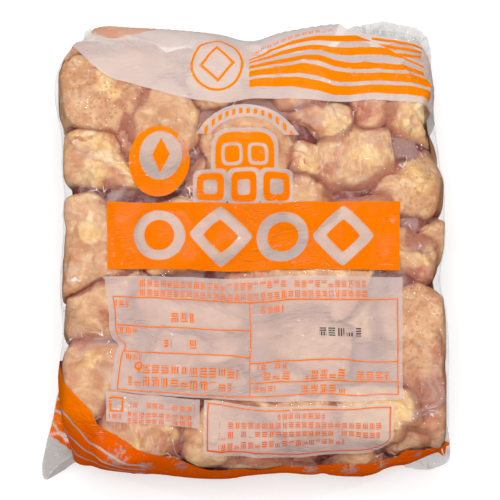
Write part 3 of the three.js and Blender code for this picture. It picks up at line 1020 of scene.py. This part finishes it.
def shape_mask(add, x, y, shape):
    """1 inside a shape, else 0: a box has four numbers, an oval five, and power 1 is a diamond."""
    if len(shape) == 4:
        left, right, bottom, top = shape
        spans = ((x, (left + right) / 2, (right - left) / 2),
                 (y, (bottom + top) / 2, (top - bottom) / 2))
        return combined(add, "MULTIPLY", [add("Math", span, "COMPARE") for span in spans])
    middle_x, middle_y, half_width, half_height, power = shape
    parts = []
    for value, middle, half in ((x, middle_x, half_width), (y, middle_y, half_height)):
        away = add("Math", (value, 1 / half, -middle / half), "MULTIPLY_ADD")
        away = add("Math", (away,), "ABSOLUTE")
        parts.append(add("Math", (away, power), "POWER"))
    return add("Math", (combined(add, "ADD", parts), 1), "LESS_THAN")


def boxes_mask(add, x, y, boxes):
    """1 inside any of these boxes, else 0."""
    return combined(add, "MAXIMUM", [shape_mask(add, x, y, box) for box in boxes])


def where(add, above=(), below=(), also=()):
    """1 where each value is above, or below, its limit, else 0, times each mask of also."""
    masks = [add("Math", pair, "GREATER_THAN") for pair in above]
    masks += [add("Math", pair, "LESS_THAN") for pair in below]
    return combined(add, "MULTIPLY", [*masks, *also])


def shape_layers(add, x, y, shapes):
    """Each shape's mask and its ink."""
    return [(shape_mask(add, x, y, shape), ink) for ink, shape in shapes]


def print_over(add, ink, layers):
    """The ink's number after each layer, a mask and its ink, is printed over the ones before."""
    for mask, number in layers:
        ink = add("Mix", {0: mask, 2: ink, 3: number})
    return ink


def line_through(add, value, points):
    """A smooth line through these points: its second number at each value of the first."""
    span = 2 * LINE_REACH
    line = add("FloatCurve", {1: add("Math", (value, 1 / span, 0.5), "MULTIPLY_ADD")})
    mapping = line.node.mapping
    curve = mapping.curves[0]
    while len(curve.points) < len(points):
        curve.points.new(0.5, 0.5)
    for point, (x, y) in zip(curve.points, points):
        point.location = (x / span + 0.5, y / span + 0.5)
    mapping.update()
    return add("Math", (line, span, -LINE_REACH), "MULTIPLY_ADD")


def over_line(add, x, y, points):
    """How far each place lies above the smooth line through these points."""
    return add("Math", (y, line_through(add, x, points)), "SUBTRACT")


def blocks_mask(add, x, y, pitch):
    """Rows of plain blocks, each of bars that lie or stand at random."""
    column = add("Math", (x, 1 / pitch), "MULTIPLY")
    row = add("Math", (y, BLOCK_ROWS), "MULTIPLY")
    cell = add("CombineXYZ", [add("Math", (part,), "FLOOR") for part in (column, row)])
    chance = add("TexWhiteNoise", {"Vector": cell})
    bars = []
    for value in (x, y):
        bar = add("Math", (value, BARS / pitch), "MULTIPLY")
        bar = add("Math", (bar,), "FRACT")
        bars.append(add("Math", (bar, BAR_SHARE), "LESS_THAN"))
    turned = add("Math", (chance, TURNED_CHANCE), "GREATER_THAN")
    across = add("Math", (column,), "FRACT")
    inside = add("Math", (across, BLOCK_MIDDLE, BLOCK_HALF), "COMPARE")
    bars = add("Mix", {0: turned, 2: bars[0], 3: bars[1]})
    return where(add, above=((chance, EMPTY_CHANCE),), also=(bars, inside))


def top_print(add, ink, x, y, fixed, blocks):
    """The white ground at the folded end with its five stripes, and the tinted fold behind it."""
    over_edge, over_top, over_stripes, over_fold, over_row = (
        over_line(add, x, y, line)
        for line in (WHITE_EDGE, WHITE_TOP, STRIPES_TOP, FOLD_DIAGONAL, TURNED_ROW))
    ground = where(add, above=((over_edge, 0), (y, GROUND_LOW)), below=((over_top, 0),),
                   also=(fixed,))
    folded = where(add, above=((over_top, 0),), also=(shape_mask(add, x, y, FOLD_BOX), fixed))

    # Each stripe keeps its share of the height from the ground's edge to the top stripe
    high = add("Math", (over_edge, over_stripes), "SUBTRACT")
    share = add("Math", (over_edge, high), "DIVIDE")
    share = add("Math", (share, 0.0), "MAXIMUM")
    bunched = add("MapRange", (x, *STRIPES_BUNCHED))
    share = add("Math", (share, bunched), "POWER")
    stripes = boxes_mask(add, x, share, [(*STRIPES_SPAN, *stripe) for stripe in STRIPES])

    # The fold's far corner is turned over, and its stripes run the other way
    turned = where(add, above=((over_fold, 0), (x, TURNED_LEFT)), below=((over_top, 0),))
    turn_share = add("Math", (over_row, 1 / TURNED_PITCH, TURNED_START), "MULTIPLY_ADD")
    turn_share = add("Math", (turn_share,), "FRACT")
    turned_stripes = where(add, below=((turn_share, TURNED_SHARE),),
                           also=(shape_mask(add, x, over_row, TURNED_BOX), turned))
    edge_blocks = where(add, also=(shape_mask(add, x, over_stripes, EDGE_BLOCKS_BOX), blocks))
    layers = [(ground, WHITE), (folded, TINT), (stripes, ORANGE), (turned, WHITE),
              (turned_stripes, ORANGE), (edge_blocks, ORANGE)]
    return print_over(add, ink, layers + shape_layers(add, x, y, TOP_SHAPES))


def middle_print(add, ink, x, y):
    """The oval badge, the arc of bars over five plain blocks, and the main band with its rings."""
    arc, bars = (
        add("Math", [shape_mask(add, x, y, (*ARC_MIDDLE, *size, 2)) for size in sizes], "SUBTRACT")
        for sizes in (ARC_SIZES, BARS_SIZES))
    bars_share = add("Math", (x, 1 / BARS_PITCH), "MULTIPLY")
    bars_share = add("Math", (bars_share,), "FRACT")
    arc = where(add, above=((y, ARC_FOOT),), also=(arc,))
    bars = where(add, above=((y, ARC_FOOT),), below=((bars_share, 0.5),), also=(bars,))
    layers = [(arc, WHITE), (bars, ORANGE)]
    layers += shape_layers(add, x, y, MIDDLE_SHAPES)

    # One place along a repeating row stands for all of them
    along = add("Math", (x, ROW_START + ROW_PITCH, ROW_START), "WRAP")
    span = shape_mask(add, x, y, ROW_SPAN)
    for number, *size in ROW_SIZES:
        block = (ROW_START + ROW_PITCH / 2, ROW_MIDDLE, *size, ROW_POWER)
        layers.append((where(add, also=(shape_mask(add, along, y, block), span)), number))
    layers += shape_layers(add, x, y, [(ORANGE, MAIN_BAND)])

    # Rings and diamonds take turns along the band
    start = RING_FIRST - RING_PITCH / 2
    along, pair = (add("Math", (x, start + count * RING_PITCH, start), "WRAP")
                   for count in (1, 2))
    second = add("Math", (pair, start + RING_PITCH), "GREATER_THAN")
    span = shape_mask(add, x, y, (start, start + 4 * RING_PITCH, RINGS_BOTTOM, RINGS_TOP))
    for number, *reaches in RINGS:
        ring, diamond = (
            shape_mask(add, along, y, (RING_FIRST, RING_MIDDLE, reach, reach, power))
            for reach, power in zip(reaches, (RING_POWER, RING_DIAMOND_POWER)))
        either = add("Mix", {0: second, 2: ring, 3: diamond})
        layers.append((where(add, also=(either, span)), number))
    return print_over(add, ink, layers)


def panel_print(add, ink, x, y, small_blocks, large_blocks):
    """The framed panel, the small panel and the lower panel, with plain blocks in rows."""
    left = add("MapRange", (x, *PANEL_DENTED, 1, 0))
    dent = add("Math", (line_through(add, y, PANEL_DENT), left), "MULTIPLY")
    panel_x = add("Math", (x, dent), "SUBTRACT")
    low = add("MapRange", (y, *PANEL_BOWED, 0, 1))
    bow = add("Math", (line_through(add, x, PANEL_BOW), low), "MULTIPLY")
    panel_y = add("Math", (y, bow), "ADD")
    panel = where(add, above=((over_line(add, x, y, PANEL_FOOT), 0),),
                  also=(shape_mask(add, panel_x, y, PANEL_BOX),))
    inner = tuple(side + way * FRAME_LINE for side, way in zip(FRAME, (1, -1, 1, -1)))
    layers = [(panel, WHITE)]
    layers += shape_layers(add, panel_x, panel_y, [(ORANGE, FRAME), (WHITE, inner), *PANEL_SHAPES])
    lean_y = add("Math", (x, SMALL_PANEL_LEAN, y), "MULTIPLY_ADD")

    def rows_of(rows, row_y, blocks, number):
        """Blocks in these rows, as a layer."""
        return where(add, also=(boxes_mask(add, x, row_y, rows), blocks)), number

    layers += [rows_of(SMALL_ROWS, panel_y, small_blocks, ORANGE),
               rows_of(LARGE_ROWS, panel_y, large_blocks, ORANGE),
               rows_of([DARK_ROW], panel_y, large_blocks, BLACK)]
    layers += shape_layers(add, x, lean_y, SMALL_PANEL_SHAPES)
    layers.append(rows_of(SMALL_PANEL_ROWS, lean_y, small_blocks, ORANGE))

    left, right = LOWER_PANEL_SIDES
    inward = combined(add, "MINIMUM", [
        add("Math", (line_through(add, x, LOWER_PANEL_TOP), y), "SUBTRACT"),
        over_line(add, x, y, LOWER_PANEL_FOOT),
        add("Math", (x, left), "SUBTRACT"),
        add("Math", (right, x), "SUBTRACT"),
    ])
    frame_line = (inward, LOWER_FRAME_INWARD, LOWER_FRAME_HALF)
    layers += [(where(add, above=((inward, 0),)), WHITE),
               (add("Math", frame_line, "COMPARE"), ORANGE),
               rows_of(LOWER_PANEL_ROWS, y, small_blocks, ORANGE)]
    return print_over(add, ink, layers)


def bottom_print(add, ink, x, y, fixed):
    """The orange band round the bottom end, with white lines across its left corner."""
    diagonal = math.sqrt(0.5)
    outwards = add("Math", (add("Math", (x, y), "ADD"), -diagonal, -CORNER_START), "MULTIPLY_ADD")
    along = add("Math", (add("Math", (x, y), "SUBTRACT"), diagonal), "MULTIPLY")
    # The orange ends short on the loose corner only
    past_end = add("Math", (fixed, -100, over_line(add, along, outwards, CORNER_END)),
                   "MULTIPLY_ADD")
    lean, limit = BAND_RIGHT
    to_right = add("Math", (y, lean, x), "MULTIPLY_ADD")
    band = where(add, above=((y, BAND_LOW),), below=(
        (over_line(add, x, y, BAND_EDGE), 0), (past_end, 0), (to_right, limit)))
    layers = [(band, ORANGE)]
    for line in CORNER_LINES:
        off = add("Math", (outwards, line_through(add, along, line), CORNER_LINE_HALF), "COMPARE")
        layers.append((where(add, below=((x, CORNER_LINES_LEFT_OF),), also=(off, band)), WHITE))
    return print_over(add, ink, layers)


def film_inks(add, x, y, fixed):
    """Where the film is printed white, orange, black and tinted, as four masks."""
    small_blocks, large_blocks = (blocks_mask(add, x, y, pitch)
                                  for pitch in (SMALL_PITCH, LARGE_PITCH))
    ink = top_print(add, BARE, x, y, fixed, small_blocks)
    ink = middle_print(add, ink, x, y)
    ink = panel_print(add, ink, x, y, small_blocks, large_blocks)
    ink = bottom_print(add, ink, x, y, fixed)
    return [add("Math", (ink, number, 0.25), "COMPARE")
            for number in (WHITE, ORANGE, BLACK, TINT)]


def film_whitening_and_glints(add, pattern, stretched, rim, any_print):
    """Thin broken white lines: film whitened along sharp folds, with painted glints along them."""
    sharp = add("MapRange", (off_middle(add, pattern["sharp"]), 0.012, 0.003))
    broken = add("Math", (stretched, 0.12, pattern["broken"]), "MULTIPLY_ADD")
    broken = add("MapRange", (broken, 0.6, 0.74, 0, 0.6))
    unprinted = add("Math", (any_print, -0.75, 1), "MULTIPLY_ADD")
    whitening_and_glints = where(add, also=(sharp, broken, unprinted))
    # A painted highlight along a loose corner's free edge and the crests of its ripples
    return add("Math", (rim, 0.6, whitening_and_glints), "MULTIPLY_ADD")


def film_relief(add, stretched):
    """Buckles about 6 mm across, and sharper ones pulled out to 12 mm by 1.6 mm whose way turns."""
    place = add("TexCoord", out="Object")
    turned = carried(add, place, 1000 / 60, 1, (0.05, 0.05, 0.05))
    pulled = add("Mapping", {"Vector": turned, "Rotation": (0, 0, 0.6), "Scale": (80, 600, 300)})
    pulled = off_middle(add, add("TexNoise", {"Vector": pulled, "Scale": 1, "Detail": 1}))
    buckled = add("TexNoise", {"Vector": place, "Scale": 1000 / 6, "Detail": 2, "Distortion": 0.8})
    buckled = add("Math", (pulled, -3.2, buckled), "MULTIPLY_ADD")
    strength = add("Math", (stretched, 0.5, 0.42), "MULTIPLY_ADD")
    return add("Bump", {"Height": buckled, "Distance": 0.0006, "Strength": strength})


def printed_film():
    """Blown polyethylene film, printed from the inside.

    To the eye it is clear with small sharp glints on its buckles, flat and even where ink backs it,
    and hazy where it hangs loose.
    """
    material, add = new_material("printed_polyethylene_film")
    gap, rub, stretched, rim = (add("Attribute", out="Fac", attribute_name=name)
                                for name in ("gap", "rub", "stretched", "rim"))
    # Stretched film carries its print a little out of true
    sheet = add("Attribute", out="Vector", attribute_name="sheet")
    sheet = carried(add, sheet, 1 / 45, 1, (4, 4, 0))
    x, y, level = add("SeparateXYZ", (sheet,)).node.outputs
    loose = add("Math", (level, PAST_BAG), "GREATER_THAN")
    fixed = add("Math", (1, loose), "SUBTRACT")
    pattern = {
        name: add("TexNoise", {"Vector": sheet, "Scale": 1 / size, "Detail": detail,
                               "Roughness": roughness, "Distortion": distortion})
        for name, (size, detail, roughness, distortion) in FILM_PATTERNS.items()}

    white, orange, black, tint = film_inks(add, x, y, fixed)
    # Ink comes off in specks, most where the film is rubbed
    specks = add("Math", (rub, 0.3, pattern["specks"]), "MULTIPLY_ADD")
    kept = add("MapRange", (specks, 0.66, 0.76, 1, 0.5), interpolation_type="SMOOTHSTEP")
    orange_kept = where(add, also=(orange, kept))
    any_print = combined(add, "MAXIMUM", [white, orange])
    whitening_and_glints = film_whitening_and_glints(add, pattern, stretched, rim, any_print)

    # Film is hazy where it is slack, and its soft milky patches are painted sheen with some haze
    haze = add("MapRange", (gap, 0.5, 9, 0.004, 0.018), interpolation_type="SMOOTHSTEP")
    milky_haze_and_sheen = add("MapRange", (pattern["milky_haze_and_sheen"], 0.52, 0.72, 0, 0.16),
                interpolation_type="SMOOTHSTEP")
    haze = add("Math", (haze, milky_haze_and_sheen), "ADD")
    clouded = add("MapRange", (level, PAST_BAG, TWISTED, 0, 0.3))
    white_cover = add("MapRange", (y, 70, 90, WHITE_COVER, FOLD_COVER))
    cover = combined(add, "MAXIMUM", [haze, whitening_and_glints, clouded] + [
        where(add, also=pair) for pair in (
            (any_print, white_cover), (orange_kept, ORANGE_COVER),
            (black, BLACK_COVER), (tint, TINT_COVER))])
    # The orange is painted darker towards the bottom end: painted shade, as less light falls there
    orange_with_painted_shade = paint(add, "#DC5600", [(y, -130, -98, 1, "#EA7000"), (y, 20, 90, 1, "#F58000")])
    # The white coat is stress whitening together with painted glints and highlights
    colour = paint(add, "#F2ECEA", [
        (any_print, 0, 1, 1, "#E6D3CC"), (orange_kept, 0, 1, 1, orange_with_painted_shade),
        (black, 0, 1, 1, "#3A3230"), (tint, 0, 1, 1, "#EFA474"), (whitening_and_glints, 0, 0.6, 1, "#FFFFFF"),
    ])
    bump = film_relief(add, stretched)
    printed = add("BsdfDiffuse", {"Color": colour, "Normal": bump})

    # A loose corner stands for two layers, dulled by rubbing, and the twisted one for more
    smudged = where(add, also=(pattern["smudged"], loose))
    see_through = paint(add, "#FEFEFE", [
        (level, PAST_BAG, LOOSE, 1, "#DEDCDA"), (level, LOOSE, TWISTED, 1, "#ACA6A0"),
        (smudged, 0.5, 0.66, 0.35, "#968E88")])
    clear = add("BsdfTransparent", {"Color": see_through})
    body = add("MixShader", (cover, clear, printed))
    gloss = add("BsdfGlossy", {"Color": "#FFFFFF", "Roughness": 0.05, "Normal": bump})
    # The film mirrors little straight on and far more at a grazing angle
    facing = add("LayerWeight", {"Blend": 0.5}, out="Facing")
    shine = add("Math", (facing, 7), "POWER")
    shine = add("Math", (shine, 0.2, 0.02), "MULTIPLY_ADD")
    add("OutputMaterial", {"Surface": add("MixShader", (shine, body, gloss))})
    return material


def rubbed(sheet):
    """How rubbed the film is at each place of its sheet, 0 to 1."""
    amount = np.zeros(len(sheet))
    for x, y, reach in RUBBED:
        away = np.linalg.norm(sheet[:, :2] - (x, y), axis=1) / reach
        amount = np.maximum(amount, np.exp(-away**2))
    return amount


def place_piece(mesh, material):
    """Moves a finished mesh from the wing list's millimetres to the frame, and adds it."""
    move_vertices(mesh, (vertex_places(mesh) + LIST_TO_FRAME) / 1000)
    mesh.polygons.foreach_set("use_smooth", [True] * len(mesh.polygons))
    mesh.materials.append(material)
    piece = bpy.data.objects.new(mesh.name, mesh)
    bpy.context.scene.collection.objects.link(piece)
    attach(piece, "root")
    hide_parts("wing_bag")


def make_film(wing_tree):
    """The whole film, drawn down over the wings and creased, its vertices and its sheet."""
    ridges = [(curve_through([(*p, height) for p in line], 6), radius)
              for line, height, radius in ((FOLD_LINE, FOLD_HEIGHT, FOLD_RADIUS),
                                           (HEM_LINE, HEM_HEIGHT, HEM_RADIUS))]
    film, box = slab_grid("film", FILM_CELLS)
    start, way = rays_of(box)
    cell = BAG_SIZE[0] / FILM_CELLS[0]
    reach, held, floor = drawn_reach(film, cell, start, way, wing_tree, ridges, FILM_PASSES)
    sheet = sheet_places(start, way, box)
    gap = reach - held
    slack = TIGHT_SHARE + (1 - TIGHT_SHARE) * smooth_step(TIGHT_GAP, SLACK_GAP, gap)
    reach = np.minimum(reach + crease_heights(sheet[:, :2]) * slack, floor)
    places = start + way * reach[:, None]
    places[:, 2] = np.where(reach > floor - 1e-3, 0, places[:, 2])
    move_vertices(film, places)
    stretched = smooth_step(*STRETCHED_FROM, gap) * (1 - smooth_step(*STRETCHED_TO, gap))
    set_marks(film, sheet=sheet, gap=gap, rub=rubbed(sheet), rim=np.zeros(len(places)),
              stretched=stretched)
    return film, places, sheet


def make_juice(wing_tree):
    """The frozen juice, which follows the wings as the film does but lies deeper."""
    juice, box = slab_grid("frozen_juice", JUICE_CELLS)
    start, way = rays_of(box)
    cell = BAG_SIZE[0] / JUICE_CELLS[0]
    reach, _, _ = drawn_reach(juice, cell, start, way, wing_tree, [], JUICE_PASSES)
    move_vertices(juice, start + way * (reach - JUICE_DEPTH)[:, None])
    return juice


def make_bag():
    """The wings, the juice between them and the film round them, with its loose corners."""
    upper = (UPPER_TURNS, UPPER_RINGS, UPPER_SEED)
    wings = [
        make_wings("wings_upper_skin", UPPER_WINGS, SKIN_LOOKS, *upper),
        make_wings("wings_upper_cut", UPPER_WINGS, CUT_LOOKS, *upper),
        make_wings("wings_lower", lower_wings(), LOOKS, LOWER_TURNS, LOWER_RINGS, LOWER_SEED),
    ]
    wing_tree = tree_of(*(mesh for mesh, _ in wings))
    film, places, sheet = make_film(wing_tree)
    film_tree = tree_of(film)
    for mesh, at in wings:
        depth = np.array([film_tree.find_nearest(Vector(place))[3] for place in at])
        set_marks(mesh, deep=np.clip(depth / DEEP, 0, 1))

    films = [film_piece(film, "film_bag_top", False), film_piece(film, "film_bag_underside", True)]
    bpy.data.meshes.remove(film)
    films += [corner_sheet("film_corner_" + name, *lines, places, sheet)
              for name, lines in CORNERS.items()]
    meat, ice, printed = raw_meat(), frozen_juice_ice(), printed_film()
    for mesh, _ in wings:
        place_piece(mesh, meat)
    place_piece(make_juice(wing_tree), ice)
    for mesh in films:
        place_piece(mesh, printed)


# The camera looks from the bag's bottom end, steeply down. The photograph is 305 mm wide there.
VIEW_POINT = Vector((0.00235, -0.0045, 0.028))
VIEW_ELEVATION = 74
VIEW_DISTANCE = 4.0
VIEW_WIDTH = 0.305
SENSOR = 36


def look_at(thing, point):
    """Turns a camera or a lamp towards a point."""
    thing.rotation_euler = (point - thing.location).to_track_quat("-Z", "Y").to_euler()


def make_camera():
    """The photograph's view, which a long lens from far off makes nearly parallel."""
    data = bpy.data.cameras.new("camera")
    data.sensor_width = SENSOR
    data.lens = SENSOR * VIEW_DISTANCE / VIEW_WIDTH
    camera = bpy.data.objects.new("camera", data)
    bpy.context.scene.collection.objects.link(camera)
    lift = math.radians(VIEW_ELEVATION)
    camera.location = VIEW_POINT + VIEW_DISTANCE * Vector((0, -math.cos(lift), math.sin(lift)))
    look_at(camera, VIEW_POINT)
    bpy.context.scene.camera = camera


# Lights: name, place, width and length in metres, watts, and whether the film mirrors it
LIGHTS = [
    ("overhead", (-0.1, 0.15, 1.7), 2.0, 2.0, 23.8, False),
    ("front", (0.2, -1.4, 0.8), 1.2, 0.5, 7, False),
    ("back", (-0.5, 1.35, 1.25), 0.3, 0.06, 4, True),
    ("left", (-1.3, 0.1, 0.9), 0.05, 0.3, 3, True),
    ("right", (1.3, 0.2, 0.9), 0.05, 0.3, 3, True),
    ("strip", (0.15, 1.15, 1.6), 0.6, 0.04, 4, True),
]
WORLD_LIGHT = 0.31
FLOOR_REACH = 40  # metres, so that its far edge is out of sight in low views


def make_floor():
    """A light table: opal acrylic lit from below, so that what lies on it casts a faint shadow."""
    build = bmesh.new()
    bmesh.ops.create_grid(build, x_segments=2, y_segments=2, size=FLOOR_REACH)
    mesh = mesh_from(build, "floor")
    material, add = new_material("opal_acrylic_light_table")
    shader = add("BsdfPrincipled", {
        "Base Color": "#BEBEBE", "Roughness": 0.8, "Emission Color": "#FFFFFF",
        "Emission Strength": 0.55,
    })
    add("OutputMaterial", {"Surface": shader})
    mesh.materials.append(material)
    floor = bpy.data.objects.new("floor", mesh)
    bpy.context.scene.collection.objects.link(floor)
    # The table neither lights the bag's sides nor shows in its film
    floor.visible_diffuse = False
    floor.visible_glossy = False


def make_lights():
    """The lamps, the even light from all round, and colours shown as they are."""
    for name, place, width, length, watts, mirrored in LIGHTS:
        light = bpy.data.lights.new(name, "AREA")
        light.shape, light.size, light.size_y, light.energy = "RECTANGLE", width, length, watts
        lamp = bpy.data.objects.new(name, light)
        lamp.location = place
        lamp.visible_glossy = mirrored
        bpy.context.scene.collection.objects.link(lamp)
        look_at(lamp, VIEW_POINT)
    world = bpy.data.worlds.new("studio")
    bpy.context.scene.world = world
    world.use_nodes = True
    background = world.node_tree.nodes["Background"]
    background.inputs["Color"].default_value = (1, 1, 1, 1)
    background.inputs["Strength"].default_value = WORLD_LIGHT
    world.cycles_visibility.glossy = False  # the film mirrors the lamps only
    bpy.context.scene.view_settings.view_transform = "Standard"


make_bag()
make_camera()
make_floor()
make_lights()
